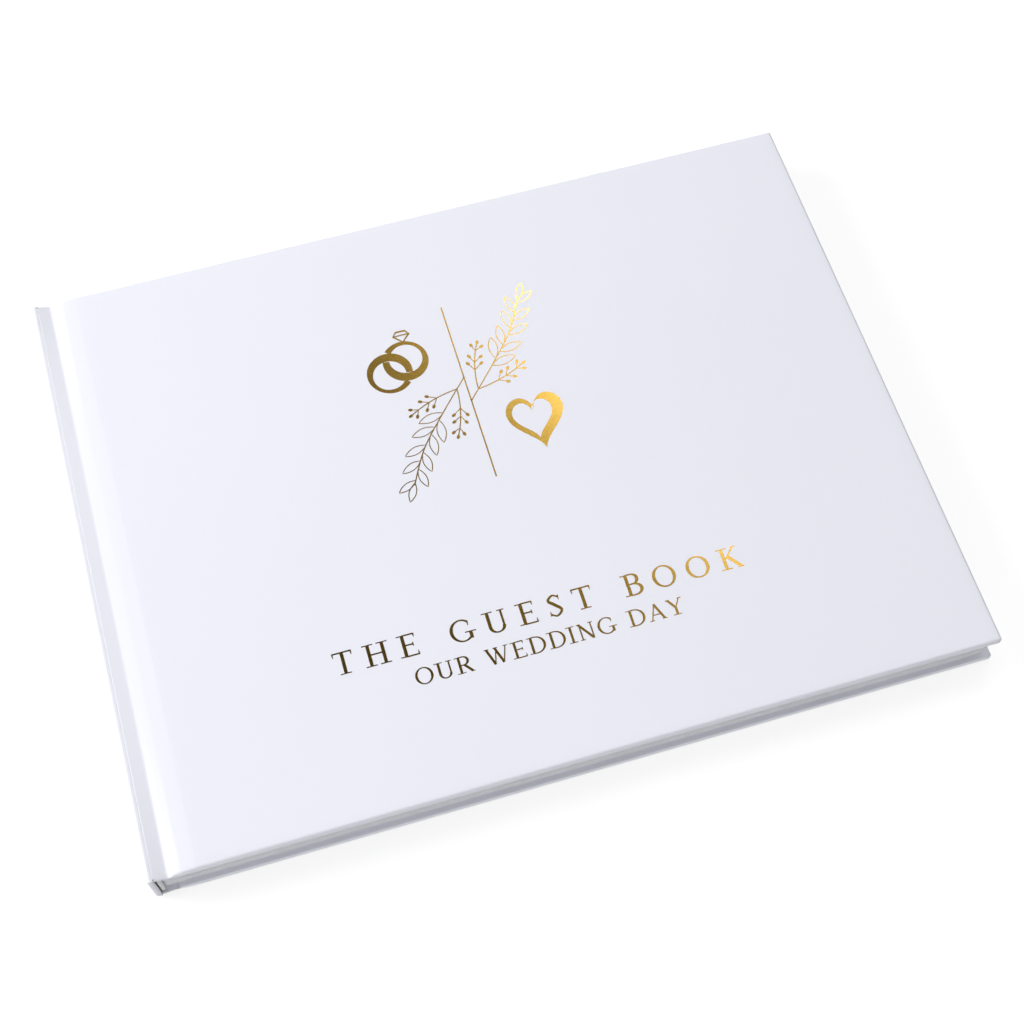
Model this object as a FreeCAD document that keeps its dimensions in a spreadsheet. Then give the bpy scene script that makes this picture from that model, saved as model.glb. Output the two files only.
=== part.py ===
# Landscape case-bound guest book, closed and lying on its back cover.
# Frame: X runs from the spine to the fore edge, Y from tail to head, Z up from the surface it lies on.
# The origin is under the middle of the closed book, on its outer back face.
import FreeCAD
import Part
import os
import re
import Sketcher

NAMED_SIZES = [
    ("leaf_width", 279.4, "page, from the sewn fold to the fore edge"),
    ("leaf_height", 215.9, "page, from tail to head"),
    ("paper", 0.18, "one leaf of page or endpaper"),
    ("leaves_per_section", 8, "leaves in one sewn section"),
    ("section_count", 7, "sewn sections in the text block"),
    ("fold_round", 0.6, "rounding of a section's folded edge"),
    ("slip", 0.05, "air between two sections"),
    ("ease", 0.08, "air on each side of a flyleaf"),
    ("board", 2.5, "cover board thickness"),
    ("spine_board", 2.0, "spine board thickness"),
    ("wrap", 0.25, "covering material"),
    ("turn_in", 15.0, "covering material folded over the inside of a board, from its outer edge"),
    ("fore_square", 3.2, "cover beyond the leaves at the fore edge"),
    ("end_square", 2.0, "cover beyond the leaves at head and tail"),
    ("corner_round", 1.5, "plan radius of a covered corner"),
    ("edge_round", 1.2, "rounding along the covered edges"),
    ("joint_round", 2.0, "rounding of a board's outer edge where the joint is pressed in"),
    ("spine_drop", 0.3, "how much lower than the covers' faces the spine's edges lie"),
    ("joint_width", 6.35, "flexible groove between the spine board and a cover board"),
    ("groove_depth", 1.3, "depth of the pressed groove"),
    ("lining", 0.2, "kraft paper lining on the spine"),
    ("cloth", 0.25, "crash cloth on the spine"),
    ("cloth_reach", 25.0, "crash cloth flap glued on the inside of a board"),
    ("thread", 0.34, "sewing thread"),
    ("kettle_margin", 14.0, "from the end of the leaves to the outermost stitches"),
    ("stitch_stations", 6, "rows of stitches along the spine"),
    ("bead_round", 0.8, "radius of the head and tail bands' bead"),
    ("fit", 0.05, "clearance between pieces that only lie beside each other"),
    ("foil", 0.03, "hot-stamped foil, proud of the cover"),
    ("rule_length", 72.3, "upright foil rule"),
    ("rule_width", 0.5, "line width of the rule and the stems"),
    ("rule_middle", 31.35, "middle of the rule above the middle of the cover"),
    ("ring_round", 7.2, "outer radius of a stamped ring"),
    ("ring_line", 1.1, "line width of a stamped ring"),
    ("motif_reach", 19.5, "from the rule to the middle of a motif"),
    ("motif_rise", 17.5, "from the rule's middle to the middle of a motif"),
    ("heart_side", 10.5, "side of the square in the stamped heart"),
    ("stem_length", 48.0, "main stem of a leaf sprig"),
    ("title_length", 139.0, "first line of lettering"),
    ("title_height", 7.9, "letter height in the first line"),
    ("title_drop", 57.4, "middle of the first line below the middle of the cover"),
    ("second_length", 90.0, "second line of lettering"),
    ("second_height", 5.9, "letter height in the second line"),
    ("second_drop", 69.1, "middle of the second line below the middle of the cover"),
]

# Positions along X are counted from the spine's outer face, and positions along Z from the surface.
BLOCK_X = "(wrap + spine_board + lining + cloth + thread + fit)"
BOARD_X = "(wrap + spine_board + joint_width)"
LONG = f"({BLOCK_X} + leaf_width + fore_square)"
TALL = "(leaf_height + 2 * end_square)"
SECTION = "(leaves_per_section * paper)"
COVER = "(2 * wrap + board + paper)"
BLOCK_Z = f"({COVER} + 2 * ease + paper)"
BLOCK_THICK = f"(section_count * {SECTION} + (section_count - 1) * slip)"
TOTAL = f"(2 * {BLOCK_Z} + {BLOCK_THICK})"
CLOTH_TALL = "(leaf_height + 2 * end_square - 2 * turn_in - 2 * fit)"
BOARD_INSIDE = "(wrap + board)"

doc = FreeCAD.newDocument("guest_book")
sheet = doc.addObject("Spreadsheet::Sheet", "Sizes")
for row, (alias, value, meaning) in enumerate(NAMED_SIZES, start=1):
    sheet.set(f"A{row}", meaning)
    sheet.set(f"B{row}", str(value))
    sheet.setAlias(f"B{row}", alias)
doc.recompute()

parts = []


def tie(thing, setting, formula):
    """Binds a setting to a formula written with the sheet's own names."""
    thing.setExpression(setting, re.sub(r"[a-z][a-z_]*", lambda name: "Sizes." + name.group(), formula))


def place(thing, x, y, z, facing="up"):
    """Puts a piece's own origin at x, y, z. Facing down, the whole book is turned over about X."""
    tie(thing, "Placement.Base.x", f"{x} - {LONG} / 2")
    if facing == "up":
        tie(thing, "Placement.Base.y", y)
        tie(thing, "Placement.Base.z", z)
        return
    thing.Placement.Rotation = FreeCAD.Rotation(FreeCAD.Vector(1, 0, 0), 180)
    tie(thing, "Placement.Base.y", f"-({y})")
    tie(thing, "Placement.Base.z", f"{TOTAL} - ({z})")


def keep(thing, label):
    """Names a finished piece, which is written to its own file at the end."""
    thing.Label = label
    parts.append(thing)
    return thing


def oblong(body, label, start, length, width, level):
    """A rectangle centred on the body's X axis, from start to start + length, at a level above XY."""
    plane = next(one for one in body.Origin.OriginFeatures if one.Role == "XY_Plane")
    sketch = body.newObject("Sketcher::SketchObject", label)
    sketch.AttachmentSupport = [(plane, "")]
    sketch.MapMode = "FlatFace"
    tie(sketch, "AttachmentOffset.Base.z", level)
    corners = [FreeCAD.Vector(*xy, 0) for xy in ((1, -1), (2, -1), (2, 1), (1, 1))]
    for first, second in zip(corners, corners[1:] + corners[:1]):
        sketch.addGeometry(Part.LineSegment(first, second))
    for side in range(4):
        sketch.addConstraint(Sketcher.Constraint("Coincident", side, 2, (side + 1) % 4, 1))
    for side, way in enumerate(("Horizontal", "Vertical", "Horizontal")):
        sketch.addConstraint(Sketcher.Constraint(way, side))
    sketch.addConstraint(Sketcher.Constraint("Symmetric", 3, 1, 3, 2, -1))
    driven = (
        ("start", ("DistanceX", -1, 1, 3, 2, 1.0), start),
        ("length", ("DistanceX", 0, 1, 0, 2, 1.0), length),
        ("width", ("DistanceY", 1, 1, 1, 2, 2.0), width),
    )
    for name, constraint, formula in driven:
        number = sketch.addConstraint(Sketcher.Constraint(*constraint))
        sketch.renameConstraint(number, name)
        tie(sketch, f"Constraints.{name}", formula)
    return sketch


def pad(body, sketch, thick):
    """Extrudes a sketch upwards."""
    feature = body.newObject("PartDesign::Pad", "pad")
    feature.Profile = sketch
    tie(feature, "Length", thick)
    return feature


def pocket(body, sketch, depth):
    """Cuts a sketch's outline downwards."""
    feature = body.newObject("PartDesign::Pocket", "pocket")
    feature.Profile = sketch
    tie(feature, "Length", depth)
    return feature


def plate(label, x, z, length, width, thick, facing="up"):
    """A flat piece centred between head and tail, with its first edge at x and its first face at z."""
    body = doc.addObject("PartDesign::Body", label)
    place(body, x, "0", z, facing)
    pad(body, oblong(body, "outline", "0", length, width, "0"), thick)
    doc.recompute()
    return body


def round_edges(body, radius, chosen):
    """Fillets those of the body's edges for which chosen(edge box, body box) is true."""
    base = body.Tip
    whole = base.Shape.BoundBox
    names = [f"Edge{n}" for n, edge in enumerate(base.Shape.Edges, start=1) if chosen(edge.BoundBox, whole)]
    fillet = body.newObject("PartDesign::Fillet", "fillet")
    fillet.Base = (base, names)
    tie(fillet, "Radius", radius)
    doc.recompute()


def same(first, second):
    return abs(first - second) < 1e-4


def upright_at_fore_edge(edge, whole):
    return same(edge.XMin, whole.XMax) and same(edge.XMax, whole.XMax) and edge.ZLength > 0.5 * whole.ZLength


def along_outer_face(edge, whole):
    """The fore, head and tail edges of a cover's outer face, with its rounded corners."""
    return same(edge.ZMax, whole.ZMin) and not same(edge.XMax, whole.XMin)


def outer_joint_edge(edge, whole):
    return same(edge.ZMax, whole.ZMin) and same(edge.XMax, whole.XMin)


def along_spine_edge(edge, whole):
    return same(edge.XMax, whole.XMin) and edge.YLength > 0.5 * whole.YLength


def cut(label, blank, tool):
    """The blank with the room that another piece fills."""
    shell = doc.addObject("Part::Cut", label)
    shell.Base = blank
    shell.Tool = tool
    return keep(shell, label)


def cover(side, facing):
    """One hard cover: board, wrap with its turn-ins, crash cloth flap and pastedown."""
    board = keep(
        plate(f"{side}_board", BOARD_X, "wrap", f"{LONG} - wrap - {BOARD_X}", f"{TALL} - 2 * wrap", "board", facing),
        f"{side}_board",
    )
    round_edges(board, "corner_round - wrap", upright_at_fore_edge)
    round_edges(board, "joint_round", outer_joint_edge)
    round_edges(board, "edge_round - wrap", along_outer_face)

    blank_long = f"({LONG} - {BOARD_X})"
    blank = plate(f"{side}_wrap_blank", BOARD_X, "0", blank_long, TALL, "2 * wrap + board", facing)
    round_edges(blank, "corner_round", upright_at_fore_edge)
    round_edges(blank, "joint_round", outer_joint_edge)
    round_edges(blank, "edge_round", along_outer_face)
    window = oblong(blank, "window", "0", f"{blank_long} - turn_in", f"{TALL} - 2 * turn_in", "2 * wrap + board")
    pocket(blank, window, "wrap")
    doc.recompute()
    cut(f"{side}_cover_wrap", blank, board)

    # The glued flap is pressed level with the turn-ins.
    flap = plate(f"{side}_cloth_flap", BOARD_X, BOARD_INSIDE, "cloth_reach", CLOTH_TALL, "wrap", facing)
    keep(flap, f"{side}_cloth_flap")

    # The pastedown lies over the turn-ins and the flap, and is pressed down to the board between them.
    paste_long = f"({BLOCK_X} + leaf_width - {BOARD_X})"
    middle_long = f"({blank_long} - turn_in - cloth_reach - 2 * fit)"
    paste = doc.addObject("PartDesign::Body", f"{side}_pastedown")
    place(paste, BOARD_X, "0", BOARD_INSIDE, facing)
    pad(paste, oblong(paste, "outline", "0", paste_long, "leaf_height", "wrap"), "paper")
    pad(paste, oblong(paste, "middle", "cloth_reach + fit", middle_long, CLOTH_TALL, "0"), "wrap + paper")
    recess = oblong(
        paste, "recess", "cloth_reach + fit + paper", f"{middle_long} - 2 * paper",
        f"{CLOTH_TALL} - 2 * paper", "wrap + paper",
    )
    pocket(paste, recess, "wrap")
    keep(paste, f"{side}_pastedown")

    fly = plate(f"{side}_flyleaf", BLOCK_X, f"{COVER} + ease", "leaf_width", "leaf_height", "paper", facing)
    keep(fly, f"{side}_flyleaf")

    # The joint is the covering, crash cloth and endpaper glued together, pressed into a channel.
    joint_x = "(wrap + spine_board)"
    joint_thick = "(groove_depth + wrap + cloth + paper - spine_drop)"
    joint = plate(f"{side}_joint_blank", joint_x, "spine_drop", "joint_width", TALL, joint_thick, facing)
    channel = doc.addObject("Part::Box", f"{side}_channel")
    tie(channel, "Length", "joint_width - 2 * wrap")
    tie(channel, "Width", f"{TALL}")
    tie(channel, "Height", "groove_depth - spine_drop")
    place(channel, f"{joint_x} + wrap", f"-{TALL} / 2", "spine_drop", facing)
    cut(f"{side}_joint", joint, channel)


def spine():
    """Spine board in its wrap, with the kraft lining and the crash cloth on the folds."""
    high = f"({TOTAL} - 2 * spine_drop)"
    board = plate("spine_board", "wrap", "spine_drop + wrap", "spine_board", f"{TALL} - 2 * wrap", f"{high} - 2 * wrap")
    round_edges(board, "edge_round - wrap", along_spine_edge)
    keep(board, "spine_board")
    blank = plate("spine_wrap_blank", "0", "spine_drop", "wrap + spine_board", TALL, high)
    round_edges(blank, "edge_round", along_spine_edge)
    cut("spine_wrap", blank, board)
    layers = (
        ("spine_lining", "wrap + spine_board", "lining", "leaf_height"),
        ("crash_cloth", "wrap + spine_board + lining", "cloth", CLOTH_TALL),
    )
    for label, x, thick, width in layers:
        keep(plate(label, x, BLOCK_Z, thick, width, BLOCK_THICK), label)


def band(label, facing):
    """A head or tail band: a bead on the ends of the leaves, and the tape that glues it to the spine."""
    tape_start = f"({CLOTH_TALL} / 2 + fit)"
    bead_y = "(leaf_height / 2 + fit + bead_round)"
    tape = doc.addObject("Part::Box", label + "_tape")
    tie(tape, "Length", "cloth")
    tie(tape, "Width", f"{bead_y} - {tape_start}")
    tie(tape, "Height", BLOCK_THICK)
    place(tape, "wrap + spine_board + lining", tape_start, BLOCK_Z, facing)
    bead = doc.addObject("Part::Cylinder", label + "_bead")
    tie(bead, "Radius", "bead_round")
    tie(bead, "Height", BLOCK_THICK)
    place(bead, "wrap + spine_board + lining + bead_round", bead_y, BLOCK_Z, facing)
    whole = doc.addObject("Part::Fuse", label)
    whole.Base = tape
    whole.Tool = bead
    keep(whole, label)


def stitches():
    """Upright runs of thread that link the sections' folds, one at each sewing station."""
    runs = []
    count = int(sheet.stitch_stations)
    for station in range(count):
        run = doc.addObject("Part::Cylinder", f"stitch_{station + 1}")
        tie(run, "Radius", "thread / 2")
        tie(run, "Height", f"{BLOCK_THICK} - {SECTION}")
        share = station / (count - 1) - 0.5
        place(run, f"{BLOCK_X} - fit - thread / 2", f"{share} * (leaf_height - 2 * kettle_margin)",
              f"{BLOCK_Z} + {SECTION} / 2")
        runs.append(run)
    group = doc.addObject("Part::Compound", "sewing_thread")
    group.Links = runs
    keep(group, "sewing_thread")


def section(number):
    """One folded and sewn section. Number 1 is the first in reading order, so it lies on top."""
    label = f"section_{number}"
    low = f"{BLOCK_Z} + (section_count - {number}) * ({SECTION} + slip)"
    body = plate(label, BLOCK_X, low, "leaf_width", "leaf_height", SECTION)
    round_edges(body, "fold_round", along_spine_edge)
    keep(body, label)


def foil_bar(name, x, y, length, height):
    """A flat bar of foil on the front face, centred at x, y from the middle of the cover."""
    bar = doc.addObject("Part::Box", name)
    tie(bar, "Length", length)
    tie(bar, "Width", height)
    tie(bar, "Height", "foil")
    place(bar, f"{LONG} / 2 + {x} - ({length}) / 2", f"{y} - ({height}) / 2", TOTAL)
    return bar


def foil_disc(name, x, y, radius):
    disc = doc.addObject("Part::Cylinder", name)
    tie(disc, "Radius", radius)
    tie(disc, "Height", "foil")
    place(disc, f"{LONG} / 2 + {x}", y, TOTAL)
    return disc


def joined(name, pieces):
    whole = doc.addObject("Part::MultiFuse", name)
    whole.Shapes = pieces
    return whole


def stamped_rings():
    """Two linked rings, up and to the left of the rule."""
    rings = []
    for name, lean in (("left", "- 0.5"), ("right", "+ 0.5")):
        x = f"-motif_reach {lean} * ring_round"
        y = "rule_middle + motif_rise"
        ring = doc.addObject("Part::Cut", f"ring_{name}")
        ring.Base = foil_disc(f"ring_{name}_outside", x, y, "ring_round")
        ring.Tool = foil_disc(f"ring_{name}_inside", x, y, "ring_round - ring_line")
        rings.append(ring)
    return joined("rings", rings)


def stamped_heart():
    """A heart, down and to the right of the rule: a square on its corner and two discs on its sides."""
    y = "rule_middle - motif_rise"
    square = doc.addObject("Part::Box", "heart_square")
    tie(square, "Length", "heart_side")
    tie(square, "Width", "heart_side")
    tie(square, "Height", "foil")
    place(square, f"{LONG} / 2 + motif_reach", f"{y} - heart_side * 0.7071", TOTAL)
    square.Placement.Rotation = FreeCAD.Rotation(FreeCAD.Vector(0, 0, 1), 45)
    side_middle = "heart_side * 0.35355"
    discs = [
        foil_disc(f"heart_{name}", f"motif_reach {sign} {side_middle}", f"{y} + {side_middle}", "heart_side / 2")
        for name, sign in (("left", "-"), ("right", "+"))
    ]
    return joined("heart", [square] + discs)


def stamped_stem(name, way, turn):
    """The main stem of a sprig, which leaves the rule and runs outwards on the slant."""
    stem = doc.addObject("Part::Box", name)
    tie(stem, "Length", "stem_length")
    tie(stem, "Width", "rule_width")
    tie(stem, "Height", "foil")
    place(stem, f"{LONG} / 2 + {way} * 2 * rule_width", "rule_middle", TOTAL)
    stem.Placement.Rotation = FreeCAD.Rotation(FreeCAD.Vector(0, 0, 1), turn)
    return stem


def foil_stamping():
    """All the foil on the front cover, as one group of thin flat solids."""
    rule = foil_bar("rule", "0", "rule_middle", "rule_width", "rule_length")
    title = foil_bar("title", "0", "-title_drop", "title_length", "title_height")
    second = foil_bar("second_line", "0", "-second_drop", "second_length", "second_height")
    sprigs = [stamped_stem("sprig_right", "1", 47), stamped_stem("sprig_left", "-1", 227)]
    group = doc.addObject("Part::Compound", "foil_stamping")
    group.Links = [rule, title, second, stamped_rings(), stamped_heart()] + sprigs
    keep(group, "foil_stamping")


cover("back", "up")
cover("front", "down")
spine()
band("head_band", "up")
band("tail_band", "down")
stitches()
for number in range(1, int(sheet.section_count) + 1):
    section(number)
foil_stamping()
doc.recompute()

for thing in doc.Objects:
    if "Invalid" in thing.State or "Error" in thing.State:
        raise RuntimeError(f"{thing.Label} failed: {thing.State}")
for thing in parts:
    if thing.Shape.isNull() or not thing.Shape.isValid() or not thing.Shape.Solids:
        raise RuntimeError(f"{thing.Label} has no valid solid")

os.makedirs("parts", exist_ok=True)
for thing in parts:
    thing.Shape.exportStep(f"parts/{thing.Label}.step")
    box = thing.Shape.BoundBox
    print(f"{thing.Label:18} {len(thing.Shape.Solids)} solid(s), {box.XLength:.2f} x {box.YLength:.2f} x "
          f"{box.ZLength:.2f} mm, from z {box.ZMin:.2f}")
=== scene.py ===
# %% [markdown]
# # A case-bound wedding guest book
# This lesson dresses a bookbinder's model of a landscape guest book. The spine board, the thread, the
# cloth and the spine's linings come from the model as they are. The covering, the covers' boards, the
# papers, the bands and the gold foil are made here, in millimetres, where the model's own pieces sit.
# The steps follow the bindery: covering, boards, endpapers, leaves, bands, foil, then the studio.

# %% Load the book's frame
import math
import random
import bpy
import bmesh
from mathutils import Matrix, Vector


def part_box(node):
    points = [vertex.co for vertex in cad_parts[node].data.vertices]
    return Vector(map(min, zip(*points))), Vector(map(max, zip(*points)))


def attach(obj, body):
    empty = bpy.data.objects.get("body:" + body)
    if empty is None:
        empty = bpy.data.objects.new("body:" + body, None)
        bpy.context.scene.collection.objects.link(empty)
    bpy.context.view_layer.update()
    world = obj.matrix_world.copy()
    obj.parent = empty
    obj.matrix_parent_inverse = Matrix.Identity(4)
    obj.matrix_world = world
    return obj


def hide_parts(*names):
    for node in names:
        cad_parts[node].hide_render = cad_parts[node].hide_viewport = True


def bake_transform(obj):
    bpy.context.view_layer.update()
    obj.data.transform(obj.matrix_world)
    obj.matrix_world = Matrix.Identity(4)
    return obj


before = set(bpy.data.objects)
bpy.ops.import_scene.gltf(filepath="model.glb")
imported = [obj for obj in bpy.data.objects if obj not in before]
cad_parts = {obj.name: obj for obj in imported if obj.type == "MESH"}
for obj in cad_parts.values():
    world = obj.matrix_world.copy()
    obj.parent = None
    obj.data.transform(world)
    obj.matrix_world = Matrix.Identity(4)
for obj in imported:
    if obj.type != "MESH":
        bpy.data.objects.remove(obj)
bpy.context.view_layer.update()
MM = 0.001


def corners(node):
    """Lowest and highest corner of a piece of the model, in millimetres."""
    low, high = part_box(node)
    return low / MM, high / MM


cover_low, cover_high = corners("front_cover_wrap")
board_low, board_high = corners("front_board")
spine_low, spine_high = corners("spine_wrap")
TOP = cover_high.z
SPINE_X = spine_low.x
BLOCK_X = corners("section_1")[0].x
FORE_X = cover_high.x
HEAD_Y = cover_high.y
LEAF_X = corners("section_1")[1].x
LEAF_Y = corners("section_1")[1].y
WRAP = board_low.y - cover_low.y
print(f"book {FORE_X - SPINE_X:.1f} x {2 * HEAD_Y:.1f} x {TOP:.2f} mm, covering {WRAP:.2f} mm thick")

# %% [markdown]
# ## Two helpers for every piece
# A mesh is built from a list of points in millimetres and a list of faces. `settle` bakes its modifiers
# in, because the covers bend at their joints, and bending needs final points.

# %% Build and settle meshes


def make_piece(name, points, faces, finish, smooth=True, merge=1e-5):
    """A new mesh piece from millimetre points, welded where points meet."""
    mesh = bpy.data.meshes.new(name)
    mesh.from_pydata([[c * MM for c in point] for point in points], [], faces)
    shell = bmesh.new()
    shell.from_mesh(mesh)
    bmesh.ops.remove_doubles(shell, verts=shell.verts, dist=merge * MM)
    bmesh.ops.dissolve_degenerate(shell, edges=shell.edges, dist=merge * MM)
    bmesh.ops.recalc_face_normals(shell, faces=shell.faces)
    for face in shell.faces:
        face.smooth = smooth
    shell.to_mesh(mesh)
    shell.free()
    mesh.materials.append(finish)
    piece = bpy.data.objects.new(name, mesh)
    bpy.context.scene.collection.objects.link(piece)
    return piece


def settle(piece):
    """Replaces the piece's mesh with the one its modifiers make."""
    evaluated = piece.evaluated_get(bpy.context.evaluated_depsgraph_get())
    final = bpy.data.meshes.new_from_object(evaluated)
    piece.modifiers.clear()
    piece.data = final
    return piece


def grid_faces(rows, columns, start=0):
    """Quads between neighbouring rows of points."""
    faces = []
    for row in range(rows - 1):
        for column in range(columns - 1):
            corner = start + row * columns + column
            faces.append((corner, corner + 1, corner + columns + 1, corner + columns))
    return faces


def thicken(piece, millimetres, side):
    """Gives an open sheet its thickness, on the side its normals point to (+1) or away from (-1)."""
    skin = piece.modifiers.new("thickness", "SOLIDIFY")
    skin.thickness = millimetres * MM
    skin.offset = side
    return settle(piece)


def ease(t):
    """0 to 1 with level ends."""
    t = min(1.0, max(0.0, t))
    return t * t * (3 - 2 * t)


def spread(first, last, count):
    """Evenly spaced values, both ends included."""
    return [first + (last - first) * step / (count - 1) for step in range(count)]


print("helpers ready")

# %% [markdown]
# ## Finishes
# Every finish is a small node network on top of Blender's Principled shader. Noise gives paper its tooth,
# and wave textures give cloth its weave. Object coordinates are in metres, so a texture scale of 1500
# makes grains of about two thirds of a millimetre.

# %% A small kit for node finishes


class Finish:
    """One material, with short calls for the nodes it needs."""

    def __init__(self, name, colour, roughness, metallic=0.0):
        self.material = bpy.data.materials.new(name)
        self.material.use_nodes = True
        self.tree = self.material.node_tree
        self.shader = self.tree.nodes["Principled BSDF"]
        self.shader.inputs["Base Color"].default_value = (*colour, 1.0)
        self.shader.inputs["Roughness"].default_value = roughness
        self.shader.inputs["Metallic"].default_value = metallic
        self.place = self.tree.nodes.new("ShaderNodeTexCoord").outputs["Object"]

    def join(self, source, target):
        self.tree.links.new(source, target)
        return target

    def stretched(self, scale):
        """Object coordinates stretched by a factor along each axis."""
        mapping = self.tree.nodes.new("ShaderNodeMapping")
        mapping.inputs["Scale"].default_value = scale
        self.join(self.place, mapping.inputs["Vector"])
        return mapping.outputs["Vector"]

    def noise(self, scale, detail=4.0, place=None):
        texture = self.tree.nodes.new("ShaderNodeTexNoise")
        texture.inputs["Scale"].default_value = scale
        texture.inputs["Detail"].default_value = detail
        self.join(place or self.place, texture.inputs["Vector"])
        return texture.outputs["Fac"]

    def wave(self, scale, direction, distortion=0.0):
        texture = self.tree.nodes.new("ShaderNodeTexWave")
        texture.bands_direction = direction
        texture.inputs["Scale"].default_value = scale
        texture.inputs["Distortion"].default_value = distortion
        self.join(self.place, texture.inputs["Vector"])
        return texture.outputs["Fac"]

    def blend_of(self, first, second, kind="ADD"):
        node = self.tree.nodes.new("ShaderNodeMath")
        node.operation = kind
        self.join(first, node.inputs[0])
        if isinstance(second, (int, float)):
            node.inputs[1].default_value = second
        else:
            self.join(second, node.inputs[1])
        return node.outputs[0]

    def tint(self, factor, dark, light, socket="Base Color"):
        """Drives a socket between two colours or values."""
        ramp = self.tree.nodes.new("ShaderNodeValToRGB")
        ramp.color_ramp.elements[0].color = (*dark, 1.0)
        ramp.color_ramp.elements[1].color = (*light, 1.0)
        ramp.color_ramp.elements[0].position = 0.3
        ramp.color_ramp.elements[1].position = 0.7
        self.join(factor, ramp.inputs["Fac"])
        self.join(ramp.outputs["Color"], self.shader.inputs[socket])

    def vary_roughness(self, factor, low, high):
        span = self.tree.nodes.new("ShaderNodeMapRange")
        span.inputs["From Min"].default_value = 0.3
        span.inputs["From Max"].default_value = 0.7
        span.inputs["To Min"].default_value = low
        span.inputs["To Max"].default_value = high
        self.join(factor, span.inputs["Value"])
        self.join(span.outputs["Result"], self.shader.inputs["Roughness"])

    def relief(self, height, strength, depth):
        """Surface relief, depth in millimetres."""
        bump = self.tree.nodes.new("ShaderNodeBump")
        bump.inputs["Strength"].default_value = strength
        bump.inputs["Distance"].default_value = depth * MM
        self.join(height, bump.inputs["Height"])
        self.join(bump.outputs["Normal"], self.shader.inputs["Normal"])


print("finish kit ready")

# %% [markdown]
# The covering is a printed sheet under a soft-touch film: white, very slightly cool, with a silky sheen
# and a fine even tooth. A second, much larger noise keeps the big flat face from looking like plastic.

# %% Soft-touch covering
covering = Finish("soft_touch_covering", (0.835, 0.84, 0.915), 0.5)
covering.tint(covering.noise(9.0, 3.0), (0.83, 0.835, 0.91), (0.84, 0.845, 0.92))
covering.relief(covering.blend_of(covering.noise(2600.0, 6.0), covering.noise(420.0, 2.0)), 0.25, 0.02)
covering.vary_roughness(covering.noise(30.0), 0.46, 0.56)
covering.shader.inputs["Specular IOR Level"].default_value = 0.35
covering.shader.inputs["Sheen Weight"].default_value = 0.06
covering.shader.inputs["Sheen Roughness"].default_value = 0.4
print("covering:", len(covering.tree.nodes), "nodes")

# %% [markdown]
# Page paper is uncoated and cool white, with soft fibres that run along the sheet. Endpapers are
# smoother. Binder's board, kraft paper, crash cloth, band and thread are hidden in a closed
# book, but they show in part once the covers are thrown open.

# %% Papers
page_paper = Finish("page_paper", (0.86, 0.865, 0.9), 0.8)
page_paper.tint(page_paper.noise(60.0, 5.0), (0.84, 0.845, 0.88), (0.88, 0.885, 0.92))
page_paper.relief(page_paper.noise(900.0, 8.0, page_paper.stretched((1.0, 0.35, 1.0))), 0.3, 0.03)

endpaper = Finish("endpaper", (0.85, 0.855, 0.9), 0.7)
endpaper.tint(endpaper.noise(40.0, 4.0), (0.84, 0.845, 0.89), (0.86, 0.865, 0.91))
endpaper.relief(endpaper.noise(1200.0, 6.0, endpaper.stretched((0.4, 1.0, 1.0))), 0.2, 0.02)

kraft = Finish("kraft_paper", (0.42, 0.27, 0.14), 0.75)
kraft.tint(kraft.noise(700.0, 8.0, kraft.stretched((1.0, 0.15, 1.0))), (0.34, 0.21, 0.1), (0.5, 0.33, 0.18))
kraft.relief(kraft.noise(1500.0), 0.3, 0.03)

board_grey = Finish("binders_board", (0.3, 0.29, 0.27), 0.9)
board_grey.tint(board_grey.noise(1100.0, 10.0), (0.22, 0.21, 0.2), (0.38, 0.37, 0.34))
board_grey.relief(board_grey.noise(1400.0, 8.0), 0.5, 0.06)
print("papers:", [paper.material.name for paper in (page_paper, endpaper, kraft, board_grey)])

# %% Cloths and thread
crash = Finish("crash_cloth", (0.72, 0.69, 0.6), 0.85)
crash_weave = crash.blend_of(crash.wave(500.0, "X"), crash.wave(500.0, "Y"), "MULTIPLY")
crash.tint(crash_weave, (0.6, 0.57, 0.48), (0.8, 0.78, 0.7))
crash.relief(crash_weave, 0.8, 0.1)

band_silk = Finish("band_silk", (0.85, 0.83, 0.78), 0.4)
band_stripe = band_silk.wave(330.0, "Z")
band_silk.tint(band_stripe, (0.6, 0.6, 0.61), (0.86, 0.86, 0.88))
band_silk.relief(band_stripe, 0.6, 0.08)
band_silk.shader.inputs["Sheen Weight"].default_value = 0.3

linen = Finish("linen_thread", (0.83, 0.81, 0.74), 0.6)
linen_twist = linen.wave(900.0, "DIAGONAL", 1.0)
linen.tint(linen_twist, (0.74, 0.71, 0.63), (0.88, 0.86, 0.8))
linen.relief(linen_twist, 0.7, 0.05)
print("cloths:", [cloth.material.name for cloth in (crash, band_silk, linen)])

# %% [markdown]
# Hot-stamped foil is a film of metal pressed into the covering under heat. It is nearly a mirror, so its
# colour is set by what it reflects: olive brown where it faces the dark studio, and pale cream where
# it faces the glow behind the book. The covering's tooth shows through as a faint ripple.

# %% Gold foil
gold = Finish("gold_foil", (0.86, 0.54, 0.11), 0.13, 1.0)
gold.tint(gold.noise(120.0, 3.0), (0.85, 0.53, 0.1), (0.87, 0.55, 0.12))
gold.vary_roughness(gold.noise(900.0, 5.0), 0.12, 0.15)
gold.relief(gold.noise(1300.0, 3.0), 0.03, 0.02)
print("foil:", gold.material.name)

# %% [markdown]
# ## The covering
# One sheet covers the whole case: front board, joint, spine, joint, back board. The covers swing, so it is
# made as three pieces that meet on the spine's edges. Each cover's sheet starts flat on the spine's edge,
# dips into the pressed joint, climbs the board's shoulder, runs to the fore edge, wraps round the edges
# and turns in by 15 mm. Rings of points walk round the edge, from the top face to the turn-in.

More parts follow.
